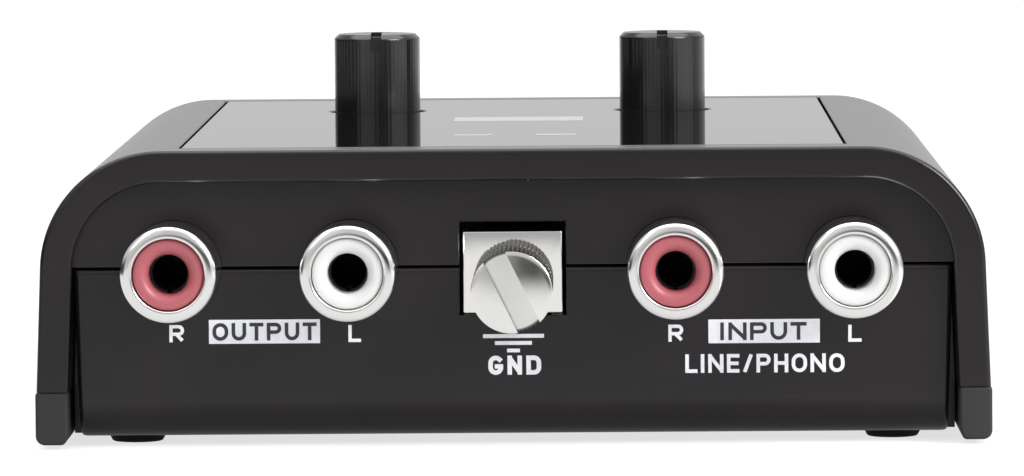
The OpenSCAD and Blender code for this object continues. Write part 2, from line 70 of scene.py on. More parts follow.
# sizes that differ from the source's, and the sockets' lips, which it doesn't have
seam_half, plate_seam = 0.06, 0.28
tray_half = 38.0
knob_ribs, head_knurls = 60, 56
barrel_r, lip_r, socket_hole_r = 4.12, 3.1, 4.15

rear_y = -(case_d + (button_reach - recess) - (socket_reach - recess)) / 2
front_y = rear_y + case_d
rear_wall_y, front_wall_y = rear_y + recess, front_y - recess
rear_inner_y, front_inner_y = rear_wall_y + end_wall, front_wall_y - end_wall
arc_x, arc_z = case_half - corner_r * math.cos(splay), case_top - corner_r
plate_z, web_z = case_top - plate_t, case_top - wall
knob_y, knob_z, knob_top = rear_y + knob_reach, plate_z + 0.6, case_top + knob_h
shaft_r, slip = 3.0, 0.05
tip_y = rear_wall_y - socket_reach
block_y = rear_inner_y + 1.0
contact_r = 2.25
ground_plate_y, ground_plate_t, washer_t = rear_wall_y - 0.1, 1.2, 0.5
board_z = 5.0
board_top = 6.6
post_places = [(x, y) for y in (rear_y + 25, front_y - 25) for x in (-31, 31)]
boss_places = [(x, rear_y + y) for y in (27, 58) for x in (-24, 24)]

# ---- mesh helpers, all in mm until a piece is placed --------------------------------------


def arc(x, y, r, start, end, steps):
    """Points along an arc, angles in degrees."""
    angles = [math.radians(start + (end - start) * i / steps) for i in range(steps + 1)]
    return [(x + r * math.cos(a), y + r * math.sin(a)) for a in angles]


def new_object(name, points, faces):
    mesh = bpy.data.meshes.new(name)
    mesh.from_pydata([tuple(p) for p in points], [], faces)
    obj = bpy.data.objects.new(name, mesh)
    scene.collection.objects.link(obj)
    clean(obj)
    return obj


def clean(obj):
    bm = bmesh.new()
    bm.from_mesh(obj.data)
    bmesh.ops.remove_doubles(bm, verts=bm.verts, dist=1e-5)
    bmesh.ops.dissolve_degenerate(bm, edges=bm.edges, dist=1e-5)
    bmesh.ops.recalc_face_normals(bm, faces=bm.faces)
    bm.to_mesh(obj.data)
    bm.free()


def loft(name, rings, loop=False, closed=True, caps=True):
    """Faces between rings of equal length. loop joins the last ring to the first, closed joins
    each ring's last point to its first, and caps closes the two ends."""
    count = len(rings[0])
    points = [p for ring in rings for p in ring]
    faces = []
    for i in range(len(rings) if loop else len(rings) - 1):
        a, b = i * count, (i + 1) % len(rings) * count
        for j in range(count if closed else count - 1):
            k = (j + 1) % count
            faces.append((a + j, a + k, b + k, b + j))
    if caps and closed:
        faces += [tuple(range(count)), tuple((len(rings) - 1) * count + j for j in range(count))]
    if caps and not closed:
        ends = [[i * count + j for i in range(len(rings))] for j in (0, count - 1)]
        faces += [tuple(e) for e in ends]
    return new_object(name, points, faces)


def along_y(x, z):
    return lambda u, v, w: (x + u, w, z + v)


def along_z(x, y):
    return lambda u, v, w: (x + u, y + v, w)


def turned(name, place, outline, segments=96, loop=False, ribs=0, depth=0.0):
    """A turned piece. outline has (radius, along) or (radius, along, share of the rib depth)."""
    rings = []
    for row in outline:
        radius, along = row[0], row[1]
        share = row[2] if len(row) > 2 else 0
        ring = []
        for i in range(segments):
            a = 2 * math.pi * i / segments
            dip = depth * share * (0.5 + 0.5 * math.cos(ribs * a)) ** 1.5 if ribs else 0
            ring.append(place((radius - dip) * math.cos(a), (radius - dip) * math.sin(a), along))
        rings.append(ring)
    return loft(name, rings, loop=loop, caps=not loop)


def box(name, low, high):
    x0, y0, z0 = low
    x1, y1, z1 = high
    ring = [(x0, y0), (x1, y0), (x1, y1), (x0, y1)]
    return loft(name, [[(x, y, z) for x, y in ring] for z in (z0, z1)])


def flared(name, low, high, axis, side, flare):
    """A box cutter that widens at 45 degrees beyond the face it opens on. axis is 1 for Y or 2
    for Z, and side says at which end it opens."""
    inside = [i for i in range(3) if i != axis]
    opening = high[axis] if side > 0 else low[axis]
    other = low[axis] if side > 0 else high[axis]
    rings = []
    for grow, level in ((0, other), (0, opening - side * flare), (flare + 1, opening + side)):
        ring = []
        for a, b in ((0, 0), (1, 0), (1, 1), (0, 1)):
            point = [0.0, 0.0, 0.0]
            point[inside[0]] = high[inside[0]] + grow if a else low[inside[0]] - grow
            point[inside[1]] = high[inside[1]] + grow if b else low[inside[1]] - grow
            point[axis] = level
            ring.append(point)
        rings.append(ring)
    return loft(name, rings)


def prism(name, outline, place, low, high):
    return loft(name, [[place(u, v, w) for u, v in outline] for w in (low, high)])


def apply_modifiers(obj):
    graph = bpy.context.evaluated_depsgraph_get()
    mesh = bpy.data.meshes.new_from_object(obj.evaluated_get(graph))
    obj.modifiers.clear()
    obj.data = mesh


def combine(obj, others, operation):
    for other in others:
        step = obj.modifiers.new("step", "BOOLEAN")
        step.object = other
        step.operation = operation
        step.solver = "EXACT"
    bpy.context.view_layer.update()
    apply_modifiers(obj)
    for other in others:
        bpy.data.objects.remove(other)
    clean(obj)
    return obj


def minus(obj, *cutters):
    return combine(obj, cutters, "DIFFERENCE")


def plus(obj, *others):
    return combine(obj, others, "UNION")


def bevelled(obj, width, segments=3, angle=40):
    step = obj.modifiers.new("edges", "BEVEL")
    step.width = width
    step.segments = segments
    step.limit_method = "ANGLE"
    step.angle_limit = math.radians(angle)
    step.use_clamp_overlap = True
    bpy.context.view_layer.update()
    apply_modifiers(obj)
    return obj


def joined(name, objects):
    """One object of several separate closed meshes."""
    bm = bmesh.new()
    for obj in objects:
        bm.from_mesh(obj.data)
        bpy.data.objects.remove(obj)
    mesh = bpy.data.meshes.new(name)
    bm.to_mesh(mesh)
    bm.free()
    obj = bpy.data.objects.new(name, mesh)
    scene.collection.objects.link(obj)
    return obj


def place_piece(obj, name, body, finish, nodes=()):
    """Turns a mesh in mm into a finished piece in metres, on its body."""
    obj.name = name
    obj.data.transform(Matrix.Scale(MM, 4))
    for face in obj.data.polygons:
        face.use_smooth = True
        face.material_index = 0
    obj.data.set_sharp_from_angle(angle=SHARP_ANGLE)
    step = obj.modifiers.new("normals", "WEIGHTED_NORMAL")
    step.weight = 60
    step.keep_sharp = True
    bpy.context.view_layer.update()
    apply_modifiers(obj)
    obj.data.name = name
    obj.data.materials.clear()
    obj.data.materials.append(finish)
    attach(obj, body)
    if nodes:
        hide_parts(*nodes)
    return obj


# ---- materials ----------------------------------------------------------------------------

NOISE_SPAN = (0.3, 0.7)  # the part of the noise's range that patches and gloss vary over


def look(name, colour, spread=0.15, patch=90, rough=0.45, rough_spread=0.05, grain=4000,
         bump=0.15, depth=2e-5, metal=0.0, specular=0.5, coat=0.0, coat_rough=0.05,
         stretch=(1, 1, 1), transmission=0.0):
    """A procedural finish. colour is linear; spread varies it over patches, and grain is the
    fine texture's frequency per metre, with depth its height in metres."""
    made = bpy.data.materials.new(name)
    made.use_nodes = True
    tree = made.node_tree
    shader = tree.nodes["Principled BSDF"]
    where = tree.nodes.new("ShaderNodeTexCoord").outputs["Object"]
    mapping = tree.nodes.new("ShaderNodeMapping")
    mapping.inputs["Scale"].default_value = stretch
    tree.links.new(where, mapping.inputs["Vector"])

    def noise(scale, detail):
        node = tree.nodes.new("ShaderNodeTexNoise")
        node.inputs["Scale"].default_value = scale
        node.inputs["Detail"].default_value = detail
        node.inputs["Roughness"].default_value = 0.55
        tree.links.new(mapping.outputs["Vector"], node.inputs["Vector"])
        return node.outputs["Fac"]

    broad = noise(patch, 5)
    fine = noise(grain, 3)
    mix = tree.nodes.new("ShaderNodeMix")
    mix.data_type = "RGBA"
    dark = [c * (1 - spread) for c in colour]
    light = [min(1, c * (1 + spread)) for c in colour]
    mix.inputs["A"].default_value = (*dark, 1)
    mix.inputs["B"].default_value = (*light, 1)
    ramp = tree.nodes.new("ShaderNodeMapRange")
    ramp.inputs["From Min"].default_value, ramp.inputs["From Max"].default_value = NOISE_SPAN
    tree.links.new(broad, ramp.inputs["Value"])
    tree.links.new(ramp.outputs["Result"], mix.inputs["Factor"])
    tree.links.new(mix.outputs["Result"], shader.inputs["Base Color"])
    gloss = tree.nodes.new("ShaderNodeMapRange")
    gloss.inputs["From Min"].default_value, gloss.inputs["From Max"].default_value = NOISE_SPAN
    gloss.inputs["To Min"].default_value = max(0.01, rough - rough_spread)
    gloss.inputs["To Max"].default_value = rough + rough_spread
    tree.links.new(noise(patch * 3, 4), gloss.inputs["Value"])
    tree.links.new(gloss.outputs["Result"], shader.inputs["Roughness"])
    relief = tree.nodes.new("ShaderNodeBump")
    relief.inputs["Strength"].default_value = bump
    relief.inputs["Distance"].default_value = depth
    tree.links.new(fine, relief.inputs["Height"])
    tree.links.new(relief.outputs["Normal"], shader.inputs["Normal"])
    shader.inputs["Metallic"].default_value = metal
    shader.inputs["Specular IOR Level"].default_value = specular
    shader.inputs["Coat Weight"].default_value = coat
    shader.inputs["Coat Roughness"].default_value = coat_rough
    shader.inputs["Transmission Weight"].default_value = transmission
    return made


case_look = look("case_plastic", (0.0082, 0.0058, 0.0076), rough=0.5, rough_spread=0.03,
                 grain=5200, bump=0.07, depth=1e-5, specular=0.05, coat=0.88, coat_rough=0.22)
rail_look = look("rail_rubber", (0.0285, 0.0262, 0.0276), rough=0.6, grain=3600, bump=0.4,
                 depth=1.5e-5, specular=0.4)
foot_look = look("foot_rubber", (0.006, 0.006, 0.006), rough=0.7, grain=3000, specular=0.35)
plate_look = look("plate_gloss", (0.006, 0.0058, 0.006), rough=0.03, rough_spread=0.01,
                  grain=900, bump=0.02, depth=5e-6, specular=0.5)
knob_look = look("knob_plastic", (0.0115, 0.0102, 0.0108), rough=0.18, grain=5000, bump=0.12,
                 depth=8e-6, specular=0.72)
nickel_look = look("socket_nickel", (0.95, 0.94, 0.93), spread=0.03, rough=0.15,
                   rough_spread=0.03, grain=2500, bump=0.05, depth=4e-6, metal=1.0)
bracket_look = look("bracket_nickel", (0.94, 0.93, 0.91), spread=0.03, rough=0.025,
                    rough_spread=0.01, grain=1800, bump=0.03, depth=3e-6, metal=1.0)
screw_look = look("screw_nickel", (0.95, 0.94, 0.92), spread=0.04, rough=0.16,
                  rough_spread=0.04, grain=2500, bump=0.12, depth=6e-6, metal=1.0)
red_look = look("insert_red", (0.425, 0.106, 0.127), spread=0.06, rough=0.34, grain=2500,
                bump=0.08, depth=8e-6, specular=0.5)
white_look = look("insert_white", (0.7, 0.7, 0.695), spread=0.02, rough=0.3, grain=2500,
                  bump=0.08, depth=8e-6, specular=0.5)
print_look = look("print_white", (0.9, 0.91, 0.95), spread=0.05, patch=1500, rough=0.5,
                  grain=9000, bump=0.2, depth=5e-6)
mark_look = look("print_silver", (0.46, 0.46, 0.465), spread=0.05, patch=1500, rough=0.45,
                 grain=9000, bump=0.2, depth=5e-6)
ink_look = look("print_dark", (0.035, 0.035, 0.05), spread=0.1, patch=1500, rough=0.5,
                grain=9000, bump=0.2, depth=5e-6)
button_look = look("button_plastic", (0.016, 0.0155, 0.0165), rough=0.38, grain=5000,
                   bump=0.25, depth=1e-5)
steel_look = look("screw_steel", (0.5, 0.5, 0.51), spread=0.06, rough=0.28, grain=2500,
                  metal=1.0, depth=1e-5)
tin_look = look("switch_steel", (0.55, 0.55, 0.56), spread=0.06, rough=0.3, grain=1500,
                stretch=(1, 6, 6), metal=1.0, depth=1e-5)
shaft_look = look("shaft_metal", (0.62, 0.62, 0.63), spread=0.04, rough=0.25, grain=2500,
                  stretch=(1, 1, 8), metal=1.0, depth=1e-5)
# the centre contacts are coloured nearly black: painted shade for the inside of the deep pin holes
contact_shade_look = look("contact_brass", (0.03, 0.032, 0.03), spread=0.2, rough=0.45, metal=0.6)
block_look = look("socket_plastic", (0.012, 0.012, 0.013), rough=0.5, grain=3500, bump=0.2)
control_look = look("control_plastic", (0.03, 0.07, 0.05), rough=0.45, grain=3000)
board_look = look("board_laminate", (0.015, 0.1, 0.045), spread=0.2, patch=400, rough=0.3,
                  grain=1600, stretch=(1, 1, 0.1))
chip_look = look("chip_plastic", (0.018, 0.018, 0.019), rough=0.55, grain=4500, bump=0.3)
sleeve_look = look("capacitor_sleeve", (0.025, 0.045, 0.14), rough=0.22, grain=900)
film_look = look("capacitor_film", (0.36, 0.045, 0.03), rough=0.25, grain=900, bump=0.3)
resistor_look = look("resistor_ceramic", (0.58, 0.46, 0.3), rough=0.35, grain=1800)
heatsink_look = look("heatsink_aluminium", (0.45, 0.46, 0.47), rough=0.35, grain=1500,
                     stretch=(1, 1, 8), metal=1.0)
lamp_look = look("lamp_red", (0.6, 0.05, 0.03), rough=0.2, grain=1200, transmission=0.4)
lens_look = look("lens_clear", (0.85, 0.87, 0.9), spread=0.02, rough=0.06, rough_spread=0.02,
                 grain=900, bump=0.05, transmission=0.9)


def paint_knurl_shade(finish, shade_tint, rough, edge, depth):
    """Paints shade into a metal on the knurled side of the ground screw's head, darker in colour
    and rougher: outside the radius edge and behind the plane at depth, both in mm."""
    tree = finish.node_tree
    shader = tree.nodes["Principled BSDF"]
    where = tree.nodes.new("ShaderNodeTexCoord").outputs["Object"]
    split = tree.nodes.new("ShaderNodeSeparateXYZ")
    tree.links.new(where, split.inputs[0])
    flat = tree.nodes.new("ShaderNodeVectorMath")
    flat.operation = "MULTIPLY_ADD"
    flat.inputs[1].default_value = (1, 0, 1)
    flat.inputs[2].default_value = (0, 0, -ground_z * MM)
    tree.links.new(where, flat.inputs[0])
    radius = tree.nodes.new("ShaderNodeVectorMath")
    radius.operation = "LENGTH"
    tree.links.new(flat.outputs["Vector"], radius.inputs[0])
    both = tree.nodes.new("ShaderNodeMath")
    both.operation = "MULTIPLY"
    for slot, (value, start, width) in enumerate(((radius.outputs["Value"], edge, 0.15),
                                                  (split.outputs["Y"], depth, 0.2))):
        part = tree.nodes.new("ShaderNodeMapRange")
        part.inputs["From Min"].default_value = start * MM
        part.inputs["From Max"].default_value = (start + width) * MM
        tree.links.new(value, part.inputs["Value"])
        tree.links.new(part.outputs["Result"], both.inputs[slot])
    # the painted shade's colour and roughness, mixed in over the knurled side
    for name, kind, shaded in (("Base Color", "RGBA", (*shade_tint, 1)), ("Roughness", "FLOAT", rough)):
        mix = tree.nodes.new("ShaderNodeMix")
        mix.data_type = kind
        tree.links.new(shader.inputs[name].links[0].from_socket, mix.inputs["A"])
        mix.inputs["B"].default_value = shaded
        tree.links.new(both.outputs[0], mix.inputs["Factor"])
        tree.links.new(mix.outputs["Result"], shader.inputs[name])


carried = {
    "case_screws": steel_look, "board_screws": steel_look, "gain_shaft": shaft_look,
    "level_shaft": shaft_look, "gain_potentiometer": control_look,
    "level_potentiometer": control_look, "circuit_board": board_look,
    "output_socket_block": block_look, "input_socket_block": block_look,
    "centre_contacts": contact_shade_look, "ground_washer": nickel_look,
    "selector_body": tin_look, "power_switch_body": control_look, "power_lamp": lamp_look,
    "inlet_pin": nickel_look, "op_amps": chip_look, "electrolytic_capacitors": sleeve_look,
    "film_capacitors": film_look, "resistors": resistor_look, "voltage_regulator": chip_look,
    "regulator_heatsink": heatsink_look,
}
for node, finish in carried.items():
    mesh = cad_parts[node].data
    mesh.materials.clear()
    mesh.materials.append(finish)
    for face in mesh.polygons:
        face.material_index = 0

# ---- case ---------------------------------------------------------------------------------


def side_x(inset, z):
    """Half the width of the side wall at height z, set in from the outside."""
    reach = corner_r - inset
    return arc_x + reach * math.cos(splay) + (arc_z + reach * math.sin(splay) - z) * math.tan(splay)


def arch(inset, base):
    """The arch's outline in X and Z from its right foot over the top to its left foot."""
    reach = corner_r - inset
    start = splay
    right = []
    if base < arc_z + reach * math.sin(splay):
        right.append((side_x(inset, base), base))
    else:
        start = math.asin((base - arc_z) / reach)
    right += arc(arc_x, arc_z, reach, math.degrees(start), 90, 30)
    return right + [(-x, z) for x, z in reversed(right)]


def round_cutter(x, z, r, wall_y, inner_y, side, flare=0.0):
    """A cutter for a round opening in an end wall, flared at the outer face."""
    return turned("cutter", along_y(x, z), [(r, inner_y - side), (r, wall_y - side * flare),
                                            (r + flare + 1, wall_y + side)])


def rear_cutters():
    made = [round_cutter(s * x, socket_z, socket_hole_r, rear_wall_y, rear_inner_y, -1)
            for s in (-1, 1) for x in socket_x]
    made.append(flared("cutter", (-window_half, rear_wall_y, window_z[0]),
                       (window_half, rear_inner_y + 1, window_z[1]), 1, -1, 0.1))
    return made


def front_cutters():
    slot_play, slot_half, gap, loose = 0.8, 1.5, 0.3, 0.15
    half = (nub_w + selector_travel + slot_play) / 2
    middle = selector_x + selector_travel / 2
    return [
        flared("cutter", (middle - half, front_inner_y - 1, split_z - slot_half),
               (middle + half, front_wall_y, split_z + slot_half), 1, 1, 0.15),
        round_cutter(button_x, split_z, button_r + gap, front_wall_y, front_inner_y, 1),
        round_cutter(lamp_x, split_z, lamp_hole_r, front_wall_y, front_inner_y, 1, 0.1),
        flared("cutter", (inlet_x - inlet_half - loose, front_inner_y - 1, board_top - loose),
               (inlet_x + inlet_half + loose, front_wall_y, board_top + inlet_h + loose), 1, 1,
               0.15),
    ]


def cylinder(x, y, r, low, high, segments=48):
    return turned("rod", along_z(x, y), [(r, low), (r, high)], segments)


def build_shell():
    outer, inner = 0.45, 0.3
    section = [(outer - outer * math.cos(t), rear_y + outer - outer * math.sin(t))
               for t in (math.radians(a) for a in range(0, 91, 15))]
    section += [(wall - inner + inner * math.sin(t), rear_y + inner - inner * math.cos(t))
                for t in (math.radians(a) for a in range(0, 91, 15))]
    middle = (rear_y + front_y) / 2
    section += [(d, 2 * middle - y) for d, y in reversed(section)]
    rings = [[(x, y, z) for x, z in arch(d, rail_top)] for d, y in section]
    shell = loft("shell", rings, loop=True, closed=False)
    low, ease, inset = split_z + seam_half, 0.14, wall - 0.4
    upper = arch(inset, low + ease + 0.05)
    walls = []
    for face, step in ((rear_wall_y, 1), (front_wall_y, -1)):
        rings = []
        for depth, rise in ((0, ease), (0.04, 0.04), (ease, 0), (end_wall, 0)):
            x, z = side_x(inset, low + rise), low + rise
            rings.append([(u, face + depth * step, v) for u, v in [(x, z), *upper, (-x, z)]])
        walls.append(loft("end", rings))
    posts = [cylinder(x, y, post_r, board_z - 1, web_z + 0.2) for x, y in post_places]
    plus(shell, *walls, *posts)
    seam = plate_half + plate_seam
    cutters = [flared("cutter", (-seam, rear_y + plate_inset - plate_seam, plate_z),
                      (seam, front_y - plate_inset + plate_seam, case_top), 2, 1, 0.1)]
    cutters += [cylinder(s * knob_x, knob_y, knob_hole_r + 0.4, web_z - 1, plate_z + 1, 64)
                for s in (-1, 1)]
    cutters += [cylinder(x, y, 1.25, board_z - 2, board_z + 10, 24) for x, y in post_places]
    return minus(shell, *cutters, *rear_cutters(), *front_cutters())


def tray_outline(inset, lift, top, ease):
    """The tray's outline along Y and Z, set in at the ends and lifted at the bottom, with its top
    edge eased."""
    r = tray_r - inset
    y0, y1, z0 = rear_wall_y + inset, front_wall_y - inset, tray_z + lift
    left = arc(y0 + ease, top - ease, ease, 90, 180, 8)
    right = arc(y1 - ease, top - ease, ease, 0, 90, 8)
    return (left + arc(y0 + r, z0 + r, r, 180, 270, 14)
            + arc(y1 - r, z0 + r, r, 270, 360, 14) + right)


def build_tray():
    top = split_z - seam_half
    edge, foot_edge, taper = 0.5, 0.2, 0.03
    skirt_in, skirt_out, skirt_end = tray_half - 1.6, tray_half + 0.35, 5
    rings = []
    for side in (-1, 1):
        turn = [math.radians(a) for a in range(0, 91, 9)]
        for t in turn if side < 0 else reversed(turn):
            x = side * (tray_half - edge + edge * math.cos(t))
            back = 1 - math.sin(t)
            rings.append([(x - side * taper * (top - z), y, z)
                          for y, z in tray_outline(edge * back, foot_edge * back, top, 0.5)])
    tray = loft("tray", rings)
    reach = tray_half - tray_wall - 0.3
    inside = tray_outline(tray_wall, tray_wall, top + 1, 0.1)
    hollow = loft("cutter", [[(x, y, z) for y, z in inside] for x in (-reach, reach)])
    minus(tray, hollow)
    skirt = [(skirt_in, tray_z + 0.1), (skirt_out, tray_z + 0.1), (skirt_out, rail_top),
             (tray_half - 0.02, top - 0.2), (skirt_in, top - 0.2)]
    plus(tray, *[prism("skirt", [(side * x, z) for x, z in skirt], lambda u, v, w: (u, w, v),
                       rear_wall_y + skirt_end, front_wall_y - skirt_end) for side in (-1, 1)])
    floor = tray_z + tray_wall - 0.1
    posts = [cylinder(x, y, seat_r, floor, board_z - 1.1) for x, y in post_places]
    posts += [cylinder(x, y, boss_r, floor, board_z) for x, y in boss_places]
    plus(tray, *posts)
    cutters = [turned("cutter", along_z(x, y), [(3.3, tray_z - 0.5), (2.6, tray_z + 0.2),
                                                (2.6, tray_z + 1.55)], 48) for x, y in post_places]
    cutters += [cylinder(x, y, 1.6, tray_z + 1, tray_z + 5, 32) for x, y in post_places]
    cutters += [cylinder(x, y, 1.2, tray_z + 0.8, tray_z + 6.8, 24) for x, y in boss_places]
    return minus(tray, *cutters, *rear_cutters(), *front_cutters())


def build_rail(side):
    outer = side_x(0, rail_top) + rail_proud
    inner = side_x(wall, rail_top)
    r = 0.8
    outline = ([(inner, rail_top), (inner, rail_z + 1.0), (inner + 0.35, rail_z)]
               + arc(outer - r, rail_z + r, r, 270, 360, 8) + [(outer, rail_top)])
    rail = prism("rail", [(side * u, v) for u, v in outline], lambda u, v, w: (u, w, v),
                 rear_y, front_y)
    return bevelled(rail, 0.3, 3, 40)


place_piece(build_shell(), "shell_skin", "case", case_look, ["upper_shell"])
place_piece(build_tray(), "tray_skin", "case", case_look, ["lower_tray"])
for side, node in ((-1, "left_side_rail"), (1, "right_side_rail")):
    place_piece(build_rail(side), node + "_skin", "case", rail_look, [node])

feet = []
for y in (rear_y + foot_inset, front_y - foot_inset):
    for side in (-1, 1):
        outline = [(0, 0)] + arc(foot_r - 0.3, 0.3, 0.3, 270, 345, 5) + [
            (foot_r + 0.3, tray_z - 0.02), (foot_r + 0.3, tray_z), (2.6, tray_z + 0.3),
            (0, tray_z + 0.3)]
        feet.append(turned("foot", along_z(side * foot_x, y), outline, 64))
place_piece(joined("feet", feet), "feet_skin", "case", foot_look, ["rubber_feet"])


def build_plate():
    plate = box("plate", (-plate_half, rear_y + plate_inset, plate_z),
                (plate_half, front_y - plate_inset, case_top))
    bevelled(plate, 0.12, 3, 40)
    holes = [turned("cutter", along_z(s * knob_x, knob_y),
                    [(knob_hole_r, plate_z - 1), (knob_hole_r, case_top - 0.12),
                     (knob_hole_r + 1.12, case_top + 1)]) for s in (-1, 1)]
    return minus(plate, *holes)


place_piece(build_plate(), "plate_skin", "case", plate_look, ["top_plate"])

# ---- rotary controls ----------------------------------------------------------------------


def build_knob(side):
    edge, crown, soft = 0.52, 0.12, 0.22
    rim = knob_top - crown
    outline = [(0, knob_z), (knob_r, knob_z, 1), (knob_r, rim - edge - 0.1, 1)]
    outline += arc(knob_r - soft, rim - edge, soft, 0, 40, 4)
    outline += arc(knob_r - edge, rim - soft, soft, 50, 90, 4)
    flat = knob_r - edge
    outline += [(flat * (1 - t), rim + crown * (1 - (1 - t) ** 2)) for t in (0.15, 0.35, 0.6, 1)]
    knob = turned("knob", along_z(side * knob_x, knob_y), outline, knob_ribs * 8,
                  ribs=knob_ribs, depth=0.01)
    x = side * knob_x
    groove = box("cutter", (x - 0.5, knob_y - knob_r - 1, knob_top - 0.35),
                 (x + 0.5, knob_y, knob_top + 1))
    notch = box("cutter", (x - 0.5, knob_y - knob_r - 1, knob_top - 1.6),
                (x + 0.5, knob_y - knob_r + 0.3, knob_top + 1))
    bore = cylinder(x, knob_y, shaft_r + slip, knob_z - 1, knob_top - 1.45, 64)
    return minus(knob, groove, notch, bore)


place_piece(build_knob(-1), "gain_knob_skin", "gain_control", knob_look,
            ["gain_knob"])
place_piece(build_knob(1), "level_knob_skin", "level_control", knob_look,
            ["level_knob"])

# ---- phono sockets ------------------------------------------------------------------------


def build_barrel(x):
    bore = barrel_r - barrel_wall
    roll, fall = 0.18, 0.5
    crest = lip_r + roll
    outline = [(bore, block_y + 2.9), (bore, tip_y + 1.8), (lip_r, tip_y + 1.5)]
    outline += arc(crest, tip_y + roll, roll, 180, 270, 8)
    outline += [(crest + (barrel_r - crest) * math.sin(t), tip_y + fall * (1 - math.cos(t)))
                for t in (math.radians(a) for a in range(6, 91, 6))]
    outline += [(barrel_r, block_y + 2.9)]
    return turned("barrel", along_y(x, socket_z), outline, 128, loop=True)


def build_insert(x):
    face, brow, edge = tip_y + 0.3, 0.85, 0.35
    insert_r = barrel_r - barrel_wall - slip
    face_r = lip_r - slip
    bore = contact_r + slip
    outline = [(bore, block_y + 2.8), (bore, face + 3), (pin_hole_r, face + 3)]
    outline += arc(pin_hole_r + brow, face + brow, brow, 180, 270, 12)
    outline += arc(face_r - edge, face + edge, edge, 270, 360, 10)
    outline += [(face_r, tip_y + 1.8), (insert_r, tip_y + 2), (insert_r, block_y + 2.8)]
    return turned("insert", along_y(x, socket_z), outline, 128, loop=True)


sockets = (("output_right", -socket_x[1], "red"), ("output_left", -socket_x[0], "white"),
           ("input_right", socket_x[0], "red"), ("input_left", socket_x[1], "white"))
for name, x, shade in sockets:
    place_piece(build_barrel(x), name + "_barrel_skin", "case", nickel_look,
                [name + "_barrel"])
    place_piece(build_insert(x), name + "_insert_skin", "case",
                red_look if shade == "red" else white_look, [name + "_insert"])

# ---- ground terminal ----------------------------------------------------------------------


def build_bracket():
    low, high = ground_plate_z
    plate = box("plate", (-ground_plate_half, ground_plate_y, low),
                (ground_plate_half, ground_plate_y + ground_plate_t, high))
    bevelled(plate, 0.16, 3, 40)
    cheeks = []
    for side in (-1, 1):
        x = side * (ground_plate_half - 0.5)
        cheeks.append(box("cheek", (x - 0.5, ground_plate_y + 0.3, low + 0.1),
                          (x + 0.5, ground_plate_y + 8, high - 0.1)))
        cheeks.append(box("tail", (x - 0.5, ground_plate_y + 5, board_z - 0.6),
                          (x + 0.5, ground_plate_y + 8, board_z + 7.4)))
    plus(plate, *cheeks)
    hole = turned("cutter", along_y(0, ground_z), [(thread_r + slip, ground_plate_y - 1),
                                                   (thread_r + slip, ground_plate_y + 2)], 48)
    return minus(plate, hole)


def build_screw():
    back = ground_plate_y - washer_t
    face = back - head_l
    crown, rim_r = 0.2, head_r * 0.982
    outline = [(rim_r * t, face + crown * t * t) for t in (0, 0.2, 0.4, 0.6, 0.75, 0.9, 1)]
    outline += [(head_r, face + crown + 0.04), (head_r, face + 0.36, 0.4), (head_r, face + 0.55, 1),
                (head_r, back - 0.15, 1), (head_r - 0.15, back), (thread_r, back)]
    crest, root = thread_r, thread_r - 0.25
    y = back + 0.6
    while y < ground_plate_y + 6.6:
        outline += [(crest, y), (root, y + thread_pitch / 2)]
        y += thread_pitch
    outline += [(root, ground_plate_y + 6.9), (0, ground_plate_y + 7)]
    screw = turned("screw", along_y(0, ground_z), outline, head_knurls * 10, ribs=head_knurls,
                   depth=0.1)
    reach = 3 * head_r
    slot = box("cutter", (-reach, face - 1, -slot_w / 2), (reach, face + 1.5, slot_w / 2))
    slot.data.transform(Matrix.Translation((0, 0, ground_z)) @ Matrix.Rotation(slot_angle, 4, "Y"))
    return minus(screw, slot)


place_piece(build_bracket(), "bracket_skin", "case", bracket_look,
            ["ground_bracket"])
head_face = ground_plate_y - washer_t - head_l
# painted shade: the knurled side of the screw head is darkened to this tint and roughened
paint_knurl_shade(screw_look, (0.15, 0.145, 0.14), 0.28, head_r - 0.3, head_face + 0.3)
place_piece(build_screw(), "ground_screw_skin", "ground_clamp", screw_look,
            ["ground_screw"])

# ---- front controls -----------------------------------------------------------------------


def build_button():
    face = front_wall_y + button_reach
    outline = [(0, face - 0.12), (1.5, face - 0.08), (button_r - 0.5, face)]
    outline += list(reversed(arc(button_r - 0.45, face - 0.45, 0.45, 0, 90, 6)))
    outline += [(button_r, front_inner_y + 0.05), (1.5, front_inner_y), (1.5, front_inner_y - 6),
                (0, front_inner_y - 6)]
    return turned("button", along_y(button_x, split_z), outline, 96)


def build_slider():
    base = front_inner_y - 3
    nub = box("nub", (selector_x - nub_w / 2, base, split_z - nub_h / 2),
              (selector_x + nub_w / 2, base + nub_l, split_z + nub_h / 2))
    bevelled(nub, 0.15, 3)
    pitch, rib_half, rib_h = 0.7, 0.17, 0.95
    ribs = [box("rib", (selector_x + pitch * i - rib_half, base + nub_l - 0.1, split_z - rib_h),
                (selector_x + pitch * i + rib_half, base + nub_l + 0.2, split_z + rib_h))
            for i in (-1, 0, 1)]
    return plus(nub, *[bevelled(rib, 0.08, 2) for rib in ribs])


def build_lens():
    root, rim, dome = front_inner_y + 0.4, front_wall_y + 0.1, 0.35
    outline = [(0, root), (lens_r, root), (lens_r, rim)]
    outline += [(lens_r * math.cos(t), rim + dome * math.sin(t))
                for t in (math.radians(a) for a in range(15, 91, 15))]
    return turned("lens", along_y(lamp_x, split_z), outline, 64)


def build_inlet():
    hole_z = board_top + 6.6
    body = box("body", (inlet_x - inlet_half, front_wall_y - inlet_d, board_top),
               (inlet_x + inlet_half, front_wall_y, board_top + inlet_h))
    bevelled(body, 0.25, 3)
    hole = round_cutter(inlet_x, hole_z, inlet_hole_r, front_wall_y, front_wall_y - 8.5, 1, 0.3)
    root = turned("cutter", along_y(inlet_x, hole_z), [(1.35, front_wall_y - 13),
                                                       (1.35, front_wall_y - 9)], 48)
    return minus(body, hole, root)


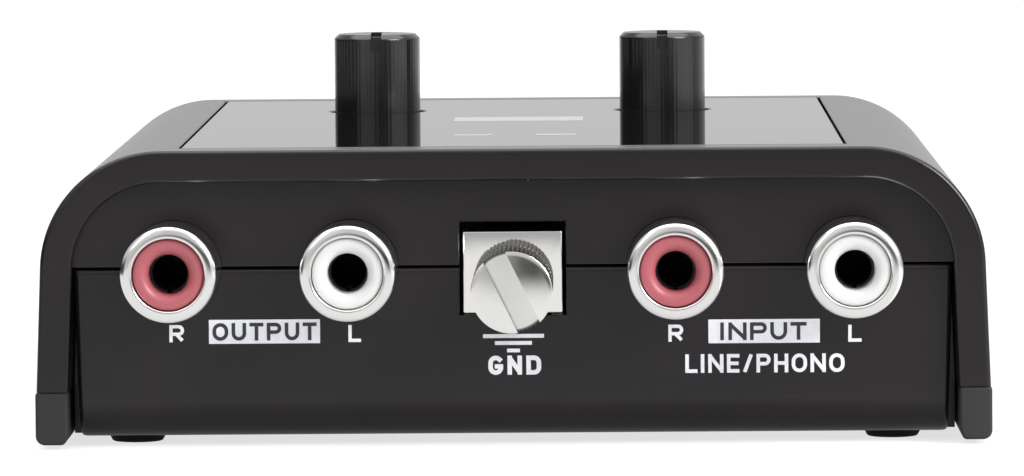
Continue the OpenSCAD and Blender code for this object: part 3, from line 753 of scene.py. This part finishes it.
place_piece(build_button(), "power_button_skin", "power_key", button_look,
            ["power_button"])
place_piece(build_slider(), "selector_slider_skin", "selector", button_look,
            ["selector_slider"])
place_piece(build_lens(), "lamp_lens_skin", "case", lens_look, ["lamp_lens"])
place_piece(build_inlet(), "power_inlet_skin", "case", block_look,
            ["power_inlet"])

# ---- printing -----------------------------------------------------------------------------

INK, INK_ROOT = 0.025, 0.02  # how far the print stands out of its wall and reaches into it


def glyph(letter, w, h, s):
    """Centre lines of a letter in a box of w by h with stroke s, as (points, closed)."""
    W, H = w - s, h - s
    r = min(W / 2, H / 2)
    q = H * 0.27
    strokes = {
        "I": [([(0, 0), (0, H)], 0)],
        "L": [([(0, H), (0, 0), (W, 0)], 0)],
        "T": [([(0, H), (W, H)], 0), ([(W / 2, 0), (W / 2, H)], 0)],
        "E": [([(W, H), (0, H), (0, 0), (W, 0)], 0), ([(0, H / 2), (W * 0.9, H / 2)], 0)],
        "H": [([(0, 0), (0, H)], 0), ([(W, 0), (W, H)], 0), ([(0, H / 2), (W, H / 2)], 0)],
        "N": [([(0, 0), (0, H)], 0), ([(W, 0), (W, H)], 0), ([(0, H), (W, 0)], 2)],
        "U": [([(0, H)] + arc(r, r, r, 180, 360, 12) + [(W, H)], 0)],
        "O": [(arc(W - r, H - r, r, 0, 90, 7) + arc(r, H - r, r, 90, 180, 7)
               + arc(r, r, r, 180, 270, 7) + arc(W - r, r, r, 270, 360, 7), 1)],
        "P": [([(0, 0), (0, H)], 0), ([(0, H)] + arc(W - q, H - q, q, 90, -90, 10)
                                      + [(0, H - 2 * q)], 0)],
        "R": [([(0, 0), (0, H)], 0), ([(0, H)] + arc(W - q, H - q, q, 90, -90, 10)
                                      + [(0, H - 2 * q)], 0), ([(W * 0.45, H - 2 * q), (W, 0)], 2)],
        "D": [([(0, 0), (0, H)], 0), ([(0, H)] + arc(W - r * 0.95, H - r * 0.95, r * 0.95, 90, 0, 7)
                                      + arc(W - r * 0.95, r * 0.95, r * 0.95, 0, -90, 7)
                                      + [(0, 0)], 0)],
        "G": [(arc(W - r, H - r, r, 42, 90, 5) + arc(r, H - r, r, 90, 180, 7)
               + arc(r, r, r, 180, 270, 7) + arc(W - r, r, r, 270, 360, 7)
               + [(W, H * 0.42)], 0), ([(W, H * 0.42), (W * 0.62, H * 0.42)], 0)],
        "/": [([(0, -0.08 * H), (W, 1.08 * H)], 2)],
    }
    return [([(x + s / 2, y + s / 2) for x, y in points], kind)
            for points, kind in strokes[letter]]


def ribbon(points, width, kind, level):
    """A thin prism along a line on the rear wall. kind 0 has square ends, 1 is closed and 2 has
    plain ends."""
    pts = [Vector(p) for p in points]
    keep = [pts[0]]
    for p in pts[1:]:
        if (p - keep[-1]).length > 1e-4:
            keep.append(p)
    pts = keep
    closed = kind == 1
    if closed and (pts[0] - pts[-1]).length < 1e-4:
        pts.pop()
    if kind == 0:
        pts[0] = pts[0] + (pts[0] - pts[1]).normalized() * width / 2
        pts[-1] = pts[-1] + (pts[-1] - pts[-2]).normalized() * width / 2
    rings = []
    count = len(pts)
    for i, p in enumerate(pts):
        before = pts[(i - 1) % count] if closed or i else None
        after = pts[(i + 1) % count] if closed or i < count - 1 else None
        a = (p - before).normalized() if before is not None else None
        b = (after - p).normalized() if after is not None else None
        a = a if a is not None else b
        b = b if b is not None else a
        mean = (a + b).normalized()
        normal = Vector((-mean.y, mean.x)) * width / 2 / max(0.5, mean.dot(b))
        left, right = p + normal, p - normal
        top, back = rear_wall_y - level, rear_wall_y + INK_ROOT
        rings.append([(left.x, top, left.y), (right.x, top, right.y),
                      (right.x, back, right.y), (left.x, back, left.y)])
    return loft("stroke", rings, loop=closed, caps=not closed)


def lettering(text, x0, x1, z0, z1, stroke, widths, level=INK):
    """Letters that fill the box x0..x1 by z0..z1; widths gives each letter's share."""
    gap = stroke * 0.95
    shares = [widths.get(c, 1.0) for c in text]
    unit = (x1 - x0 - gap * (len(text) - 1)) / sum(shares)
    made = []
    x = x0
    for c, share in zip(text, shares):
        w = unit * share
        for n, (points, kind) in enumerate(glyph(c, w, z1 - z0, stroke)):
            shifted = [(px + x, pz + z0) for px, pz in points]
            made.append(ribbon(shifted, stroke, kind, level + 0.002 * n))
        x += w + gap
    return made


def bar(x0, x1, z0, z1):
    return box("bar", (x0, rear_wall_y - INK, z0), (x1, rear_wall_y + INK_ROOT, z1))


widths = {"I": 0.28, "L": 0.85, "T": 0.95, "E": 0.88, "/": 0.72, "O": 1.08, "N": 1.08,
          "G": 1.1, "D": 1.1}
# each with its box x0, x1, z0, z1 and its stroke
light_text = (("R", -29.74, -28.46, 9.16, 10.66, 0.29), ("L", -14.25, -13.16, 9.08, 10.57, 0.29),
              ("R", 13.41, 14.7, 8.92, 10.4, 0.29), ("L", 28.95, 30.1, 8.81, 10.28, 0.29),
              ("LINE/PHONO", 14.86, 28.62, 6.2, 7.82, 0.31), ("GND", -2.17, 2.4, 6.15, 7.81, 0.39))
dark_text = (("OUTPUT", -26.0, -17.0, 9.27, 10.8, 0.31), ("INPUT", 17.9, 25.35, 9.02, 10.55, 0.31))
earth_sign = ((-2.61, 2.66, 9.34, 9.68), (-1.58, 1.62, 8.74, 9.07), (-0.54, 0.58, 8.09, 8.41))
text_boxes = ((-26.31, -16.7, 9.0, 11.08), (16.87, 26.5, 8.76, 10.82))
pale, dark = [], []
for text, *sizes in light_text:
    pale += lettering(text, *sizes, widths)
pale += [bar(*sizes) for sizes in earth_sign + text_boxes]
for text, *sizes in dark_text:
    dark += lettering(text, *sizes, widths, 2 * INK)
place_piece(joined("print", pale), "rear_print_light", "case", print_look)
place_piece(joined("print", dark), "rear_print_dark", "case", ink_look)

# a plain bar and two dashes, as ranges in X and Y
marks = [((-5.9, 6.0), (3.9, 11.3)), ((-5.35, -2.0), (-21.4, -19.4)), ((1.8, 5.5), (-21.4, -19.4))]
top_marks = [box("mark", (xs[0], ys[0], case_top - 0.01), (xs[1], ys[1], case_top + 0.015))
             for xs, ys in marks]
place_piece(joined("marks", top_marks), "top_print", "case", mark_look)

# ---- stage, light and camera --------------------------------------------------------------


def math_node(tree, operation, *values):
    """A Math node; each value is a number or another node's output."""
    node = tree.nodes.new("ShaderNodeMath")
    node.operation = operation
    for socket, value in zip(node.inputs, values):
        if isinstance(value, (int, float)):
            socket.default_value = value
        else:
            tree.links.new(value, socket)
    return node.outputs[0]


def ramp_node(tree, value, low, high, at_low, at_high):
    node = tree.nodes.new("ShaderNodeMapRange")
    node.interpolation_type = "SMOOTHSTEP"
    tree.links.new(value, node.inputs["Value"])
    for name, number in (("From Min", low), ("From Max", high), ("To Min", at_low),
                         ("To Max", at_high)):
        node.inputs[name].default_value = number
    return node.outputs["Result"]


ROOM_GAIN = 1.38


def round_level(tree, x, y):
    """How bright the room is in each direction, for metal and gloss to show, and the angle of
    that direction, which is 0 straight out from the sockets and grows to the right."""
    angle = math_node(tree, "ARCTAN2", x, math_node(tree, "MULTIPLY", y, -1))
    ramp = tree.nodes.new("ShaderNodeValToRGB")
    stops = ((-180, 1), (-162, 1), (-140, 0.05), (-56, 0.05), (-43, 0.7), (-12, 0.65), (-3, 0.33),
             (34, 0.33), (43, 0.9), (87, 0.9), (95, 0.3), (108, 0.3), (120, 0.6), (165, 1),
             (180, 1))
    band = ramp.color_ramp.elements
    while len(band) < len(stops):
        band.new(0.5)
    for stop, (degrees, level) in zip(band, stops):
        stop.position = degrees / 360 + 0.5
        stop.color = (level, level, level, 1)
    share = math_node(tree, "ADD", math_node(tree, "DIVIDE", angle, 2 * math.pi), 0.5)
    tree.links.new(share, ramp.inputs["Fac"])
    return math_node(tree, "MULTIPLY", ramp.outputs["Color"], ROOM_GAIN), angle


def stage_look(name, glow, albedo):
    """White where the camera and glass see it, with a faint shadow close under the object. Metal
    and gloss see the room's brightness all round on it, and soft light a plain pale surface."""
    made = bpy.data.materials.new(name)
    made.use_nodes = True
    tree = made.node_tree
    tree.nodes.clear()
    out = tree.nodes.new("ShaderNodeOutputMaterial")
    diffuse = tree.nodes.new("ShaderNodeBsdfDiffuse")
    diffuse.inputs["Color"].default_value = (albedo, albedo, albedo, 1)
    near = tree.nodes.new("ShaderNodeAmbientOcclusion")
    near.samples = 8
    near.inputs["Distance"].default_value = 0.05
    path = tree.nodes.new("ShaderNodeLightPath")
    touch = ramp_node(tree, near.outputs["AO"], 0.02, 0.4, 0.82, 1)
    broad = ramp_node(tree, near.outputs["AO"], 0.05, 0.85, 0.3, 1)
    glossy = path.outputs["Is Glossy Ray"]
    direct = math_node(tree, "SUBTRACT", 1, glossy)
    open_sky = math_node(tree, "ADD", math_node(tree, "MULTIPLY", touch, direct),
                         math_node(tree, "MULTIPLY", broad, glossy))
    where = tree.nodes.new("ShaderNodeTexCoord").outputs["Object"]
    place = tree.nodes.new("ShaderNodeSeparateXYZ")
    tree.links.new(where, place.inputs[0])
    around = round_level(tree, place.outputs["X"], place.outputs["Y"])[0]
    far = tree.nodes.new("ShaderNodeVectorMath")
    far.operation = "LENGTH"
    tree.links.new(where, far.inputs[0])
    close = ramp_node(tree, far.outputs["Value"], 0.29, 0.42, 0.95, 0)
    sheet = math_node(tree, "MULTIPLY", math_node(tree, "MAXIMUM", close, around), glossy)
    sheet = math_node(tree, "ADD", sheet, direct)
    shade = math_node(tree, "MULTIPLY", open_sky, sheet)
    light = tree.nodes.new("ShaderNodeEmission")
    tree.links.new(math_node(tree, "MULTIPLY", shade, glow), light.inputs["Strength"])
    both = tree.nodes.new("ShaderNodeAddShader")
    thin = tree.nodes.new("ShaderNodeBsdfDiffuse")
    thin.inputs["Color"].default_value = (0.22, 0.22, 0.22, 1)
    tree.links.new(light.outputs[0], both.inputs[0])
    tree.links.new(thin.outputs[0], both.inputs[1])
    seen = math_node(tree, "MAXIMUM", path.outputs["Is Camera Ray"],
                     path.outputs["Is Transmission Ray"])
    mix = tree.nodes.new("ShaderNodeMixShader")
    tree.links.new(seen, mix.inputs["Fac"])
    tree.links.new(diffuse.outputs[0], mix.inputs[1])
    tree.links.new(both.outputs[0], mix.inputs[2])
    last = tree.nodes.new("ShaderNodeMixShader")
    tree.links.new(glossy, last.inputs["Fac"])
    tree.links.new(mix.outputs[0], last.inputs[1])
    tree.links.new(light.outputs[0], last.inputs[2])
    tree.links.new(last.outputs[0], out.inputs["Surface"])
    return made


floor_mesh = bpy.data.meshes.new("floor")
reach = 6.0
floor_mesh.from_pydata([(-reach, -reach, 0), (reach, -reach, 0), (reach, reach, 0),
                        (-reach, reach, 0)], [], [(0, 1, 2, 3)])
floor = bpy.data.objects.new("floor", floor_mesh)
scene.collection.objects.link(floor)
floor.data.materials.append(stage_look("floor_paper", 0.88, 0.75))

world = bpy.data.worlds.new("studio")
scene.world = world
world.use_nodes = True
tree = world.node_tree
background = tree.nodes["Background"]
background.inputs["Color"].default_value = (1, 1, 1, 1)
path = tree.nodes.new("ShaderNodeLightPath")
direction = tree.nodes.new("ShaderNodeTexCoord").outputs["Generated"]
split = tree.nodes.new("ShaderNodeSeparateXYZ")
tree.links.new(direction, split.inputs[0])
room, angle = round_level(tree, split.outputs["X"], split.outputs["Y"])
height = split.outputs["Z"]
low = ramp_node(tree, height, 0.02, 0.5, 0.505, 0.75)
# a dark band low in the room, from straight out to 0.6 rad right of it, for metal to show
stand = math_node(tree, "MULTIPLY", ramp_node(tree, angle, -0.02, 0.06, 0, 1),
                  ramp_node(tree, angle, 0.5, 0.6, 1, 0))
stand = math_node(tree, "MULTIPLY", stand, ramp_node(tree, height, 0.24, 0.34, 0.97, 0))
paper = math_node(tree, "MULTIPLY", room, low)
paper = math_node(tree, "MULTIPLY", paper, math_node(tree, "SUBTRACT", 1, stand))
paper = math_node(tree, "MAXIMUM", paper, ramp_node(tree, height, 0.08, 0.36, 0, 0.55))
paper = math_node(tree, "MAXIMUM", paper, ramp_node(tree, height, 0.55, 0.9, 0, 1))
seen = math_node(tree, "MAXIMUM", path.outputs["Is Camera Ray"],
                 path.outputs["Is Transmission Ray"])
paper = math_node(tree, "MULTIPLY", paper, path.outputs["Is Glossy Ray"])
soft = math_node(tree, "SUBTRACT", 1, path.outputs["Is Glossy Ray"])
fill = math_node(tree, "MULTIPLY", ramp_node(tree, split.outputs["Y"], -0.8, 0.3, 1, 0.4),
                 ramp_node(tree, split.outputs["X"], -0.7, 0.5, 0.35, 1.2))
level = math_node(tree, "ADD", paper, math_node(tree, "MULTIPLY", soft, fill))
tree.links.new(math_node(tree, "MAXIMUM", level, seen), background.inputs["Strength"])


def softbox(name, place, target, size, radiance):
    data = bpy.data.lights.new(name, "AREA")
    data.shape = "RECTANGLE"
    data.size, data.size_y = size
    data.energy = radiance * math.pi * size[0] * size[1]
    lamp = bpy.data.objects.new(name, data)
    scene.collection.objects.link(lamp)
    lamp.location = place
    aim = Vector(target) - Vector(place)
    lamp.rotation_euler = aim.to_track_quat("-Z", "Y").to_euler()
    lamp.visible_camera = False
    return lamp


# place, target, size in metres, and radiance
softbox("left_softbox", (-0.75, -0.65, 0.75), (0, 0, 0.02), (0.5, 0.6), 0.8)
softbox("right_softbox", (0.75, -0.55, 0.6), (0, 0, 0.02), (0.5, 0.6), 11)
softbox("top_softbox", (0, 0.08, 1.0), (0, 0.06, 0.02), (1.4, 0.8), 1.9)

# fitted to the photograph's receding edges: 7677 px of focal length in a frame 1024 px wide
focal_px, frame_px, sensor = 7677, 1024, 36.0
camera_data = bpy.data.cameras.new("camera")
camera_data.sensor_width = sensor
camera_data.sensor_fit = "HORIZONTAL"
camera_data.lens = focal_px / frame_px * sensor
camera_data.clip_start = 0.01
camera_data.clip_end = 50.0
camera = bpy.data.objects.new("camera", camera_data)
scene.collection.objects.link(camera)
right = Vector((0.999898, 0.011958, -0.00781))
up = Vector((0.007008, 0.065708, 0.997814))
back = Vector((0.012445, -0.997767, 0.065617))
turn = Matrix((right, up, back)).transposed()
camera.matrix_world = Matrix.Translation((0.008216, -0.70345, 0.061506)) @ turn.to_4x4()
scene.camera = camera

scene.view_settings.view_transform = "Standard"
